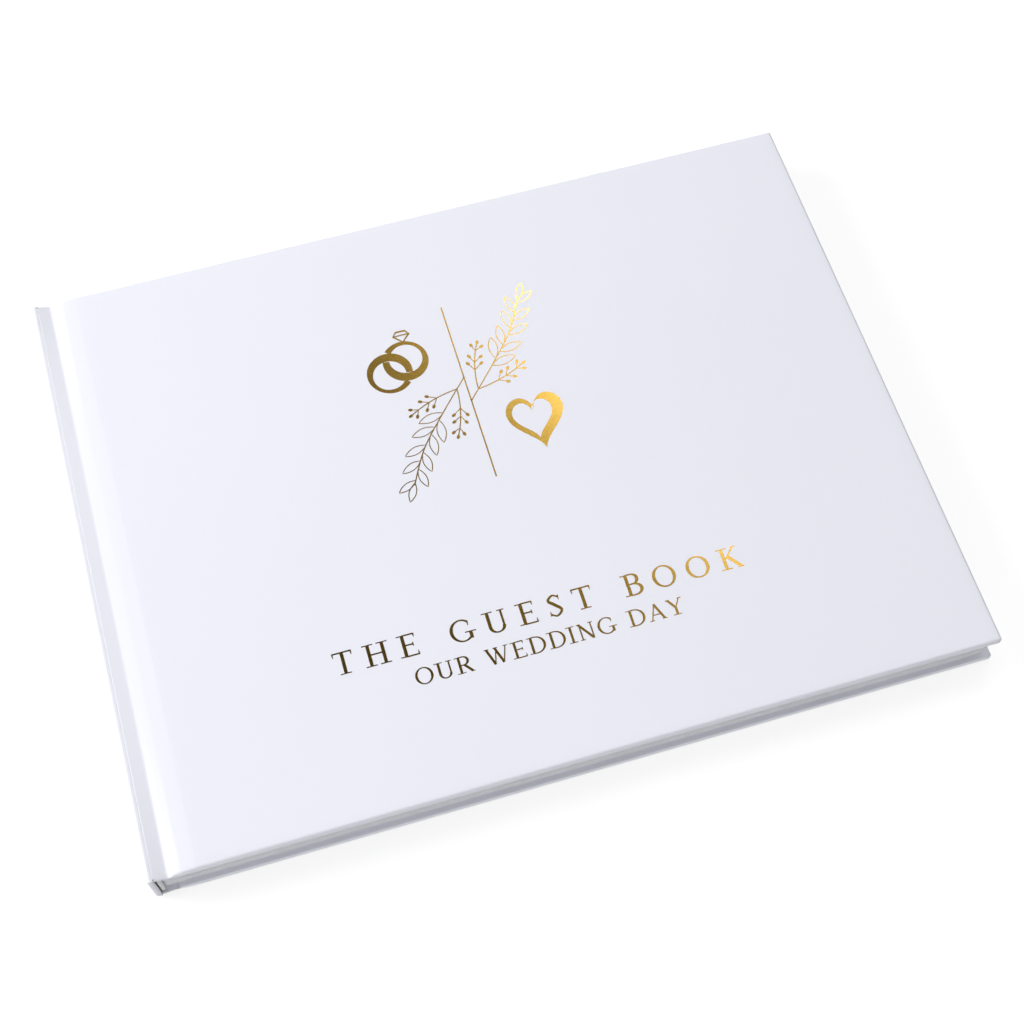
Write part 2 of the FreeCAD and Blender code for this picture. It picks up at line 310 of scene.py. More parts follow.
# %% The pressed joint's profile
CORNER = 0.8
OUTER_ROUND = 1.0
INNER_ROUND = 0.5
SEAM = 2.0
SPINE_DROP = TOP - spine_high.z
SPINE_FLAT = 1.3
BOARD_S = board_low.x - SPINE_X
VALLEY = 6.6
VALLEY_DEEP = 0.92
ENDS_DEEPER = 0.88
SHOULDER = 11.0
SHOULDER_DROP = 0.36
SHOULDER_END = 16.0
COVER_THICK = cover_high.z - cover_low.z
JOINT_THICK = 0.8


def bent_line(s, y):
    """The joint drawn with straight lines: spine edge, valley, board edge, shoulder, flat cover."""
    deep = VALLEY_DEEP + ENDS_DEEPER * abs(y / HEAD_Y) ** 4
    stops = (
        (SPINE_FLAT, SPINE_DROP),
        (VALLEY, deep),
        (BOARD_S, 0.32 + 0.36 * deep),
        (SHOULDER, SHOULDER_DROP),
        (SHOULDER_END, 0.0),
    )
    if s <= stops[0][0]:
        return SPINE_DROP
    for (s0, drop0), (s1, drop1) in zip(stops, stops[1:]):
        if s <= s1:
            return drop0 + (drop1 - drop0) * (s - s0) / (s1 - s0)
    return 0.0


def joint_drop(s, y):
    """How far the cover's outer face lies below the top: the bent line, softened."""
    return sum(bent_line(s + shift, y) for shift in (-0.4, -0.2, 0.0, 0.2, 0.4)) / 5


def cover_heights(x, y):
    """Outer face and inner face of the cover at a place."""
    s = x - SPINE_X
    outer = TOP - joint_drop(s, y)
    over_joint = ease((BOARD_S - s) / 0.6)
    inner = (TOP - COVER_THICK) * (1 - over_joint) + (outer - JOINT_THICK) * over_joint
    return outer, inner


print(f"joint valley {joint_drop(VALLEY, 0):.2f} mm deep at mid length")
print(f"and {joint_drop(VALLEY, HEAD_Y):.2f} mm deep at head and tail")

# %% [markdown]
# A real cover is wrapped: the sheet goes over the board's edge and is glued down inside. Rings of points
# do the same, each a little further round the edge. The joint's part needs close points because it
# has to bend, and the flat part needs only a few.

# %% Rings round a cover's edge
MARGIN = 4.0
TURN_IN = 15.0
joint_steps = spread(SEAM, SHOULDER_END + 1.0, 52)
across = [SPINE_X + s for s in joint_steps] + spread(SPINE_X + 22.0, FORE_X - MARGIN, 16)
along = spread(HEAD_Y - MARGIN, -(HEAD_Y - MARGIN), 33)


def outline(inset):
    """The cover's outline drawn in by an inset: head edge, corner, fore edge, corner, tail edge."""
    corner = max(CORNER - inset, 0.0)
    edge_x, edge_y = FORE_X - inset, HEAD_Y - inset
    stop_x, stop_y = edge_x - corner, edge_y - corner
    head = [(min(x, stop_x), edge_y) for x in across]
    turn = [math.radians(angle) for angle in range(80, 0, -10)]
    first = [(stop_x + corner * math.cos(a), stop_y + corner * math.sin(a)) for a in turn]
    fore = [(edge_x, max(-stop_y, min(stop_y, y))) for y in along]
    second = [(x, -y) for x, y in reversed(first)]
    tail = [(x, -y) for x, y in reversed(head)]
    return head + first + fore + second + tail


def edge_rings():
    """(inset, share of the outer rounding used, share of the inner rounding used) from face to turn-in."""
    rings = [(MARGIN, 0.0, None)]
    for step in range(9):
        a = math.radians(90 * step / 8)
        rings.append((OUTER_ROUND * (1 - math.sin(a)), 1 - math.cos(a), None))
    for step in range(5):
        a = math.radians(90 * step / 4)
        rings.append((INNER_ROUND * (1 - math.cos(a)), None, 1 - math.sin(a)))
    return rings + [(MARGIN, None, 0.0), (TURN_IN - 0.6, None, 0.0), (TURN_IN, None, 0.0)]


print(len(edge_rings()), "rings of", len(outline(0)), "points")

# %% [markdown]
# The front cover's sheet is made from the rings and a grid for its flat face. The back cover is the same
# sheet turned over about the book's length, as in the bindery, so one function makes both.

# %% Both covers


def cover_sheet(name, turned_over):
    """One cover's sheet of covering, with its face, edges and turn-ins."""
    points, faces = [], []
    rings = edge_rings()
    for inset, outer_share, inner_share in rings:
        for x, y in outline(inset):
            outer, inner = cover_heights(x, y)
            room = outer - inner
            if outer_share is not None:
                z = outer - min(OUTER_ROUND, 0.55 * room) * outer_share
            else:
                z = inner + min(INNER_ROUND, 0.35 * room) * inner_share
            points.append((x, y, z))
    faces += grid_faces(len(rings), len(outline(0)))
    start = len(points)
    for x in across:
        points += [(x, y, cover_heights(x, y)[0]) for y in along]
    faces += grid_faces(len(across), len(along), start)
    if turned_over:
        points = [(x, -y, TOP - z) for x, y, z in points]
    sheet = make_piece(name, points, faces, covering.material)
    flip_outwards(sheet, -1 if turned_over else 1)
    return thicken(sheet, WRAP, -1)


def flip_outwards(sheet, up):
    """Makes an open sheet's normals point out of the book: its middle face looks up (1) or down (-1)."""
    middle = min(sheet.data.polygons, key=lambda polygon: polygon.center.to_2d().length)
    if middle.normal.z * up < 0:
        sheet.data.flip_normals()


front_wrap = cover_sheet("front_covering", False)
back_wrap = cover_sheet("back_covering", True)
print("covering faces:", len(front_wrap.data.polygons), "each side")

# %% [markdown]
# The spine's covering is one more sheet: from the front seam, round the spine board's edge, down the
# spine's face and round to the back seam. Its head and tail roll over the ends of the board.

# %% Spine covering
SPINE_BACK = SPINE_X + WRAP + (corners("spine_board")[1].x - corners("spine_board")[0].x)
SPINE_END = 0.9


def spine_profile(y):
    """(outer point, inner point) pairs in the XZ plane, from the front seam to the back seam."""
    upper = [(s, TOP - joint_drop(s, y)) for s in spread(SEAM, OUTER_ROUND + 0.15, 6)]
    for step in range(9):
        a = math.radians(90 * step / 8)
        s = OUTER_ROUND * (1 - math.sin(a))
        upper.append((s, TOP - joint_drop(OUTER_ROUND, y) - OUTER_ROUND * (1 - math.cos(a))))
    half = upper + [(0.0, z) for z in spread(TOP - 3, TOP / 2, 4)]
    pairs = [((SPINE_X + s, z), (SPINE_BACK, min(z, half[0][1]))) for s, z in half]
    for (x, z), (inner_x, inner_z) in reversed(pairs[:-1]):
        pairs.append(((x, TOP - z), (inner_x, TOP - inner_z)))
    return pairs


def spine_sheet():
    deep = SPINE_BACK - SPINE_X
    half_rings = [(MARGIN, 0.0)]
    for step in range(7):
        a = math.radians(90 * step / 6)
        half_rings.append((SPINE_END * (1 - math.sin(a)), SPINE_END * (1 - math.cos(a)) / deep))
    half_rings.append((0.0, 1.0))
    rows = [(HEAD_Y - inset, share) for inset, share in reversed(half_rings)]
    rows += [(y, 0.0) for y in spread(HEAD_Y - 12, 12 - HEAD_Y, 21)]
    rows += [(inset - HEAD_Y, share) for inset, share in half_rings]
    points = []
    for y, share in rows:
        for (x, z), (inner_x, inner_z) in spine_profile(y):
            points.append((x + (inner_x - x) * share, y, z + (inner_z - z) * share))
    faces = grid_faces(len(rows), len(spine_profile(0)))
    sheet = make_piece("spine_covering", points, faces, covering.material)
    spine_middle = Vector((SPINE_X * MM, 0, TOP / 2 * MM))
    middle = min(sheet.data.polygons, key=lambda polygon: (polygon.center - spine_middle).length)
    if middle.normal.x > 0:
        sheet.data.flip_normals()
    return thicken(sheet, WRAP, -1)


spine_wrap = spine_sheet()
print("spine covering faces:", len(spine_wrap.data.polygons))

# %% [markdown]
# The covering is glued to the block's spine and to the boards, and is free only in the joint. Here the
# spine's sheet rides on the block, and the covers' sheets stay where they were made.

# %% Place the covering on the book
for sheet, side in ((front_wrap, "front"), (back_wrap, "back")):
    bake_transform(sheet)
    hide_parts(f"{side}_cover_wrap", f"{side}_joint")
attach(spine_wrap, "text_block")
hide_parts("spine_wrap")

# %% [markdown]
# ## Boards
# Each cover is stiffened by a 2.5 mm board. The joint is pressed with a hot rod, which also crushes the
# board's spine edge a little, so the board's face follows the shoulder of the covering.

# %% Boards under the covering
BOARD_EDGE = 0.7


def board_piece(side, turned_over):
    """A board with a softened rim, its outer face just under the covering."""
    xs = [board_low.x, board_low.x + BOARD_EDGE] + spread(board_low.x + 1.5, SPINE_X + 17, 14)
    xs += spread(SPINE_X + 40, board_high.x - BOARD_EDGE, 8) + [board_high.x]
    ys = [board_low.y] + spread(board_low.y + BOARD_EDGE, board_high.y - BOARD_EDGE, 17) + [board_high.y]
    points = []
    for x in xs:
        for y in ys:
            rim = x in (xs[0], xs[-1]) or y in (ys[0], ys[-1])
            points.append((x, y, cover_heights(x, y)[0] - WRAP - 0.03 - (BOARD_EDGE if rim else 0)))
    faces = grid_faces(len(xs), len(ys))
    start = len(points)
    points += [(x, y, board_low.z) for x in xs for y in ys]
    faces += grid_faces(len(xs), len(ys), start)
    columns, last = len(ys), len(xs) * len(ys) - len(ys)
    for i in range(columns - 1):
        for first in (0, last):
            faces.append((first + i, first + i + 1, start + first + i + 1, start + first + i))
    for i in range(len(xs) - 1):
        for first in (0, columns - 1):
            a, b = first + i * columns, first + (i + 1) * columns
            faces.append((a, b, start + b, start + a))
    if turned_over:
        points = [(x, -y, TOP - z) for x, y, z in points]
    board = make_piece(f"{side}_cover_board", points, faces, board_grey.material, smooth=False)
    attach(board, f"{side}_cover")
    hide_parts(f"{side}_board")


board_piece("front", False)
board_piece("back", True)
print("boards", round(board_high.z - board_low.z, 2), "mm thick")

# %% [markdown]
# ## Endpapers
# An endpaper is one folded sheet. One half is pasted to the inside of the cover, and it is pressed down
# between the turn-ins, whose edges show as a soft step. The other half is the flyleaf. Both bend at the
# joint when the cover opens.

# %% Pastedowns
PAPER = corners("front_flyleaf")[1].z - corners("front_flyleaf")[0].z
PASTE_Z = corners("front_pastedown")[0].z
FLAP_END = corners("front_cloth_flap")[1].x
STEP = 0.7
FOLD_Z = corners("front_flyleaf")[1].z + PAPER / 2


def pressed(x, y):
    """How far the pastedown is pressed towards the board, past the turn-ins and the cloth flap."""
    in_x = ease((x - FLAP_END) / STEP) * ease((FORE_X - TURN_IN - x) / STEP)
    in_y = ease((HEAD_Y - TURN_IN - abs(y)) / STEP)
    return WRAP * in_x * in_y


def pastedown_height(x, y):
    s = x - SPINE_X
    fold = 0.3 * ease((s - 3.2) / 1.8) * ease((BOARD_S + 0.4 - s) / 1.6)
    start = (FOLD_Z - PASTE_Z) * (1 - ease((s - 3.2) / 1.8))
    return PASTE_Z + fold + start + pressed(x, y)


def pastedown(name, turned_over):
    steps_x = [FLAP_END + STEP * share for share in (0, 0.25, 0.5, 0.75, 1)]
    steps_x += [FORE_X - TURN_IN - STEP * share for share in (1, 0.75, 0.5, 0.25, 0)]
    xs = sorted(spread(BLOCK_X + 0.1, SPINE_X + 10, 30) + spread(SPINE_X + 14, LEAF_X, 12) + steps_x)
    edge = HEAD_Y - TURN_IN
    steps_y = [sign * (edge - STEP * share) for share in (0, 0.25, 0.5, 0.75, 1) for sign in (1, -1)]
    ys = sorted(spread(-LEAF_Y, LEAF_Y, 13) + steps_y)
    points = [(x, y, pastedown_height(x, y)) for x in xs for y in ys]
    if turned_over:
        points = [(x, -y, TOP - z) for x, y, z in points]
    sheet = make_piece(name, points, grid_faces(len(xs), len(ys)), endpaper.material)
    flip_outwards(sheet, 1 if turned_over else -1)
    return thicken(sheet, PAPER, -1)


for side, turned_over in (("front", False), ("back", True)):
    sheet = pastedown(f"{side}_pasted_endpaper", turned_over)
    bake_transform(sheet)
    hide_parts(f"{side}_pastedown")
print(f"endpaper {PAPER:.2f} mm, pressed {WRAP:.2f} mm deep between the turn-ins")

# %% [markdown]
# ## Leaves
# A leaf is a thin closed slab with enough cuts near the fold to bend in the gutter. Each section is four
# sheets, one inside the other and folded together, so the cross-section of one sheet is two leaves joined
# by a round fold. The edges are never cut perfectly true: each sheet is a few hundredths longer or
# shorter than the next, which is what makes the fine lines on a book's edge.

# %% Folded sheets and flyleaves
random.seed(11)
GUTTER = 30.0
LEAF_AIR = 0.035
gutter_steps = spread(0.9, GUTTER + 8, 20)
flat_steps = spread(GUTTER + 28, LEAF_X - BLOCK_X, 12)


def ribbon_solid(path, width_low, width_high, thick, rows=5):
    """Points and faces of a thin closed slab that follows a path in the XZ plane."""
    count = len(path)
    normals = []
    for index in range(count):
        before = Vector(path[max(index - 1, 0)])
        after = Vector(path[min(index + 1, count - 1)])
        way = (after - before).normalized()
        normals.append(Vector((-way.y, way.x)))
    loop = [Vector(p) + n * thick / 2 for p, n in zip(path, normals)]
    loop += [Vector(p) - n * thick / 2 for p, n in zip(reversed(path), reversed(normals))]
    points = []
    for y in spread(width_low, width_high, rows):
        points += [(x, y, z) for x, z in loop]
    size = len(loop)
    faces = []
    for row in range(rows - 1):
        for index in range(size):
            a, b = row * size + index, row * size + (index + 1) % size
            faces.append((a, b, b + size, a + size))
    for first in (0, (rows - 1) * size):
        for index in range(count - 1):
            across_from = first + size - 1 - index
            faces.append((first + index, first + index + 1, across_from - 1, across_from))
    return points, faces


def folded_sheet(low, high, nested, length_trim):
    """Path of one sheet: bottom leaf from its fore edge to the fold, round it, and back on top."""
    radius = (high - low) / 2
    middle = (high + low) / 2
    fold_x = BLOCK_X + nested + radius
    xs = [BLOCK_X + s for s in gutter_steps + flat_steps[:-1]] + [LEAF_X - length_trim]
    xs = [x for x in xs if x > fold_x + 0.3]
    turn = [math.radians(a) for a in range(-90, 91, 30)]
    bottom = [(x, low) for x in reversed(xs)]
    fold = [(fold_x - radius * math.cos(a), middle + radius * math.sin(a)) for a in turn]
    return bottom + fold + [(x, high) for x in xs]


def section_piece(number):
    """Four folded sheets as one piece."""
    low, high = corners(f"section_{number}")
    pitch = (high.z - low.z) / 8
    points, faces = [], []
    for sheet in range(4):
        trim = random.uniform(0.0, 0.22)
        z_low = low.z + pitch * (sheet + 0.5)
        z_high = high.z - pitch * (sheet + 0.5)
        path = folded_sheet(z_low, z_high, sheet * pitch, trim)
        width = LEAF_Y - random.uniform(0.0, 0.12)
        more_points, more_faces = ribbon_solid(path, -width, width, pitch - LEAF_AIR)
        faces += [tuple(i + len(points) for i in face) for face in more_faces]
        points += more_points
    return make_piece(f"section_{number}_sheets", points, faces, page_paper.material, smooth=False)


sections = {number: section_piece(number) for number in range(1, 8)}
print("sections:", len(sections), "with", sum(len(s.data.polygons) for s in sections.values()), "faces")

# %% [markdown]
# A leaf stays sewn at its fold and bends over the first centimetres beside it, the gutter. Here the first
# six sections keep their place as made, and the last section rides on the block.

# %% Place the leaves and make the flyleaves
for number, piece in sections.items():
    if number < 7:
        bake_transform(piece)
    else:
        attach(piece, "text_block")
    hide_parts(f"section_{number}")

for side in ("front", "back"):
    low, high = corners(f"{side}_flyleaf")
    middle = (low.z + high.z) / 2
    path = [(BLOCK_X + s, middle) for s in [0.0] + gutter_steps + flat_steps]
    fly_points, fly_faces = ribbon_solid(path, -LEAF_Y, LEAF_Y, PAPER)
    flyleaf = make_piece(f"{side}_free_endpaper", fly_points, fly_faces, endpaper.material, smooth=False)
    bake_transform(flyleaf)
    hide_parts(f"{side}_flyleaf")

# %% [markdown]
# ## Head and tail bands
# A band hides the ends of the folds. It is a roll of silk wound over a cord, glued by a tape to the spine.
# The winding is a row of fine ridges, so the bead's radius swells and shrinks along its length.

# %% Bands
WINDS = 16


def band(name, node, sign):
    low, high = corners(node)
    radius = (high.x - low.x) / 2
    centre_x = low.x + radius
    centre_y = sign * (max(abs(low.y), abs(high.y)) - radius)
    rounds, rows = 20, WINDS * 6 + 1
    points = []
    for z in spread(low.z, high.z, rows):
        swell = radius * (0.93 + 0.07 * math.cos(2 * math.pi * WINDS * (z - low.z) / (high.z - low.z)))
        end = min(z - low.z, high.z - z) / 0.5
        swell *= 0.75 + 0.25 * ease(end)
        for step in range(rounds):
            a = 2 * math.pi * step / rounds
            points.append((centre_x + swell * math.cos(a), centre_y + swell * math.sin(a), z))
    faces = []
    for row in range(rows - 1):
        for step in range(rounds):
            a, b = row * rounds + step, row * rounds + (step + 1) % rounds
            faces.append((a, b, b + rounds, a + rounds))
    faces.append(tuple(range(rounds)))
    faces.append(tuple((rows - 1) * rounds + step for step in range(rounds)))
    bead = make_piece(name, points, faces, band_silk.material)
    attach(bead, "text_block")
    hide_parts(node)
    return bead


band("head_band_winding", "head_band", 1)
band("tail_band_winding", "tail_band", -1)
print(WINDS, "winds on each band")

# %% [markdown]
# ## Gold stamping
# The die leaves a film of foil a few hundredths of a millimetre thick. Every line of it is a stroke: a
# path with a width that may change along it, given a little thickness. Strokes make the rule, the
# sprigs, the rings, the heart and the serif capitals, so one function draws them all.

# %% Strokes of foil
FOIL = corners("foil_stamping")[1].z - TOP
foil_low = TOP - 0.01
foil_high = TOP + FOIL
NO_OTHERS = bpy.data.collections.new("no_other_pieces")


class Stamp:
    """Collects strokes and blots, and makes them into one piece."""

    def __init__(self, name):
        self.name = name
        self.points = []
        self.faces = []

    def prism(self, edge_a, edge_b, closed=False):
        """A flat solid between two edges that run side by side."""
        count = len(edge_a)
        start = len(self.points)
        for z in (foil_low, foil_high):
            for edge in (edge_a, edge_b):
                self.points += [(x, y, z) for x, y in edge]
        low_a, low_b, high_a, high_b = (start + count * k for k in range(4))
        spans = count if closed else count - 1
        for i in range(spans):
            j = (i + 1) % count
            self.faces.append((high_a + i, high_a + j, high_b + j, high_b + i))
            self.faces.append((low_a + i, low_b + i, low_b + j, low_a + j))
            self.faces.append((low_a + i, low_a + j, high_a + j, high_a + i))
            self.faces.append((low_b + i, high_b + i, high_b + j, low_b + j))
        if not closed:
            for i in (0, count - 1):
                self.faces.append((low_a + i, high_a + i, high_b + i, low_b + i))

    def stroke(self, path, width, closed=False):
        """width is a number, or a function of the share of the path's length."""
        path = [Vector(p) for p in path]
        count = len(path)
        edge_a, edge_b = [], []
        for i, point in enumerate(path):
            before = path[(i - 1) % count] if closed else path[max(i - 1, 0)]
            after = path[(i + 1) % count] if closed else path[min(i + 1, count - 1)]
            way = (after - before).normalized()
            side = Vector((-way.y, way.x))
            share = i / (count if closed else count - 1)
            half = (width(share) if callable(width) else width) / 2
            edge_a.append(tuple(point + side * half))
            edge_b.append(tuple(point - side * half))
        self.prism(edge_a, edge_b, closed)

    def blot(self, centre, radius, stretch=1.0, lean=0.0, count=14):
        """A small filled oval."""
        ring = []
        for i in range(count):
            a = math.tau * i / count
            x, y = radius * stretch * math.cos(a), radius * math.sin(a)
            ring.append((centre[0] + x * math.cos(lean) - y * math.sin(lean),
                         centre[1] + x * math.sin(lean) + y * math.cos(lean)))
        start = len(self.points)
        for z in (foil_low, foil_high):
            self.points += [(x, y, z) for x, y in ring]
        self.faces.append(tuple(start + count + i for i in range(count)))
        self.faces.append(tuple(start + i for i in reversed(range(count))))
        for i in range(count):
            j = (i + 1) % count
            self.faces.append((start + i, start + j, start + count + j, start + count + i))

    def finished(self):
        """Merges the strokes where they cross, so the foil is one clean film."""
        piece = make_piece(self.name, self.points, self.faces, gold.material, smooth=False, merge=1e-6)
        union = piece.modifiers.new("merge", "BOOLEAN")
        union.operation = "UNION"
        union.operand_type = "COLLECTION"
        union.collection = NO_OTHERS
        union.solver = "EXACT"
        union.use_self = True
        settle(piece)
        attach(piece, "front_cover")
        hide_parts("foil_stamping")
        return piece


def arc(centre, radius_x, radius_y, first, last, count=24):
    """Points along part of an oval, angles in degrees."""
    angles = [math.radians(a) for a in spread(first, last, count)]
    return [(centre[0] + radius_x * math.cos(a), centre[1] + radius_y * math.sin(a)) for a in angles]


def curve(anchors, count=10):
    """A smooth path through a few anchors."""
    padded_anchors = [anchors[0]] + list(anchors) + [anchors[-1]]
    path = []
    for a, b, c, d in zip(padded_anchors, padded_anchors[1:], padded_anchors[2:], padded_anchors[3:]):
        a, b, c, d = (Vector(p) for p in (a, b, c, d))
        for step in range(count):
            t = step / count
            path.append(0.5 * (2 * b + (c - a) * t + (2 * a - 5 * b + 4 * c - d) * t * t
                               + (3 * b - a - 3 * c + d) * t ** 3))
    return [tuple(p) for p in path] + [tuple(anchors[-1])]


print(f"foil {FOIL:.3f} mm proud of the cover")

# %% [markdown]
# The emblem stands a little above the middle of the cover: an upright rule, linked rings on its left and a
# heart on its right.

# %% Rule, rings and heart
RULE_MIDDLE = (0.0, 31.6)
RULE_LONG = 72.3
LINE = 0.5
HAIR = 0.42

rule = Stamp("foil_rule")
rule.stroke([(0, RULE_MIDDLE[1] - RULE_LONG / 2), (0, RULE_MIDDLE[1] + RULE_LONG / 2)], LINE)
rule.finished()

rings = Stamp("foil_rings")
RING = 7.1
ring_low, ring_high = Vector((-24.9, 45.6)), Vector((-18.0, 49.9))
apart = ring_high - ring_low
facing = math.degrees(math.atan2(apart.y, apart.x))
crossing = math.degrees(math.acos(apart.length / 2 / RING))
GAP = 15


def band_width(t):
    return 2.35 + 0.95 * math.sin(math.tau * t)


for centre, gap_at in ((ring_low, facing - crossing), (ring_high, facing + 180 - crossing)):
    rings.stroke(arc(centre, RING, RING, gap_at + GAP, gap_at + 360 - GAP, 60), band_width)
gem_root = ring_high + Vector((1.0, RING + 0.7))
gem = [gem_root + Vector(p) for p in ((-2.9, 2.7), (-1.7, 4.3), (1.7, 4.3), (2.9, 2.7), (0, -0.3))]
rings.stroke(gem, 0.75, closed=True)
rings.stroke([gem[0], gem[3]], 0.5)
rings.finished()

heart = Stamp("foil_heart")
HEART = (20.2, 14.2)


def heart_line(grow, shift_x, shift_y):
    """A heart drawn as a closed line."""
    path = []
    for step in range(72):
        a = math.tau * step / 72
        x = 16 * math.sin(a) ** 3
        y = 13 * math.cos(a) - 5 * math.cos(2 * a) - 2 * math.cos(3 * a) - math.cos(4 * a)
        path.append((HEART[0] + shift_x + x * 0.64 * grow, HEART[1] + shift_y + y * 0.76 * grow))
    return path


heart.prism(heart_line(1.0, 0, 0), heart_line(0.7, -1.0, 0.5), closed=True)
heart.finished()
print("rings", 2 * RING, "mm across, rule", RULE_LONG, "mm long")

# %% [markdown]
# A sprig is drawn by rule. Its main stem is a plain arc, and its leaves alternate left and right at even
# steps and shrink towards the tip. Two berry twigs leave the stem at equal angles. The first sprig
# points down to the left, and the second is the first one turned half round.

# %% Leaf sprigs
SPRIG_TURN = 32.0
SPRIG_ROOT = (0.0, 37.0)
SPRIG_STEM = curve([SPRIG_ROOT, (-11.0, 25.0), (-21.0, 13.0), (-28.0, 0.0)])
LEAVES = 9
FIRST_LEAF = 0.34
LEAF_STEP = 0.075
LEAF_TURN = 38
LEAF_LONG = 9.4
LEAF_SHRINK = 0.25
TIP_LEAF_LONG = 7.4
TWIG_FOOT = 0.14
TWIG_TURN = 40
BERRY_PAIRS = 3
BERRY_TURN = 42


def place_on(path, share, turn):
    """A point part of the way along a stem, and the stem's direction there turned by some degrees."""
    index = min(int(share * (len(path) - 1)), len(path) - 2)
    here, ahead = Vector(path[index]), Vector(path[index + 1])
    way = ahead - here
    return here, math.atan2(way.y, way.x) + math.radians(turn)


def leaf(stamp, path, share, turn, length):
    """An outlined pointed leaf that grows from a stem."""
    root, a = place_on(path, share, turn)
    forward = Vector((math.cos(a), math.sin(a)))
    side = Vector((-math.sin(a), math.cos(a)))
    outline_points = []
    for step in range(24):
        t = step / 12 if step <= 12 else 2 - step / 12
        half = 0.17 * length * math.sin(math.pi * t) ** 0.85 * (1 if step <= 12 else -1)
        outline_points.append(root + forward * length * t + side * half)
    stamp.stroke(outline_points, 0.34, closed=True)


def berry_twig(stamp, side):
    """A short twig on one side of the stem (+1 or -1), with pairs of berries and one at its tip."""
    root, a = place_on(SPRIG_STEM, TWIG_FOOT, 0)
    twig = [root]
    for step in range(12):
        lean = a + side * math.radians(TWIG_TURN - 2 * step)
        twig.append(twig[-1] + Vector((math.cos(lean), math.sin(lean))) * 1.6)
    stamp.stroke(twig, HAIR)
    stalks = [(1.0, 0, 2.0)]
    for pair in range(BERRY_PAIRS):
        stalks += [(0.45 + 0.2 * pair, turn, 3.6 - 0.4 * pair) for turn in (-BERRY_TURN, BERRY_TURN)]
    for share, turn, length in stalks:
        foot, way = place_on(twig, share, turn)
        tip = foot + Vector((math.cos(way), math.sin(way))) * length
        stamp.stroke([foot, tip], 0.32)
        stamp.blot(tip, 0.58, 1.5, way)


def sprig(name, turned):
    """One stem with alternating leaves and two berry twigs."""
    stamp = Stamp(name)
    stamp.stroke(SPRIG_STEM, HAIR)
    for number in range(LEAVES):
        side = 1 if number % 2 else -1
        share = FIRST_LEAF + LEAF_STEP * number
        leaf(stamp, SPRIG_STEM, share, LEAF_TURN * side, LEAF_LONG - LEAF_SHRINK * number)
    leaf(stamp, SPRIG_STEM, 0.99, 0, TIP_LEAF_LONG)
    for side in (1, -1):
        berry_twig(stamp, side)
    if turned:
        stamp.points = [(-x, 2 * SPRIG_TURN - y, z) for x, y, z in stamp.points]
    return stamp.finished()


sprig("foil_sprig_lower_left", False)
sprig("foil_sprig_upper_right", True)
print(f"two sprigs of {LEAVES + 1} leaves and {2 * (2 * BERRY_PAIRS + 1)} berries")

# %% [markdown]
# The lettering is generic: "THE GUEST BOOK" over "OUR WEDDING DAY". Light Roman capitals have
# thick stems, thin crossbars and small flat serifs, so each letter is a few strokes on a grid where the
# letter is 1 high. A round letter is one closed stroke that swells at its sides.

# %% Roman capitals
STEM = 0.145
THIN = 0.068
SERIF = 0.05
WIDE = 1.22


def stem(x, bottom=0.0, top=1.0, width=STEM, feet=(True, True)):
    """An upright with serifs."""
    strokes = [([(x, bottom), (x, top)], width)]
    for wanted, y, lean in ((feet[0], bottom, 1), (feet[1], top, -1)):
        if wanted:
            serif_y = y + lean * SERIF / 2
            strokes.append(([(x - width * 1.35, serif_y), (x + width * 1.35, serif_y)], SERIF))
    return strokes


def slant(start, end, width):
    return [([start, end], width)]


def tick(x, y, length):
    """A small upright serif at the end of a crossbar."""
    return [([(x, y), (x, y + length)], lambda t: SERIF * (1.5 - 0.9 * t))]


def bowl(centre, radius_x, radius_y, first, last):
    """A curved stroke that is thick at its sides and thin at its top and bottom."""
    path = arc(centre, radius_x, radius_y, first, last, 30)

    def width(t):
        a = math.radians(first + (last - first) * t)
        return THIN + (STEM - THIN) * math.cos(a) ** 2
    return [(path, width)]


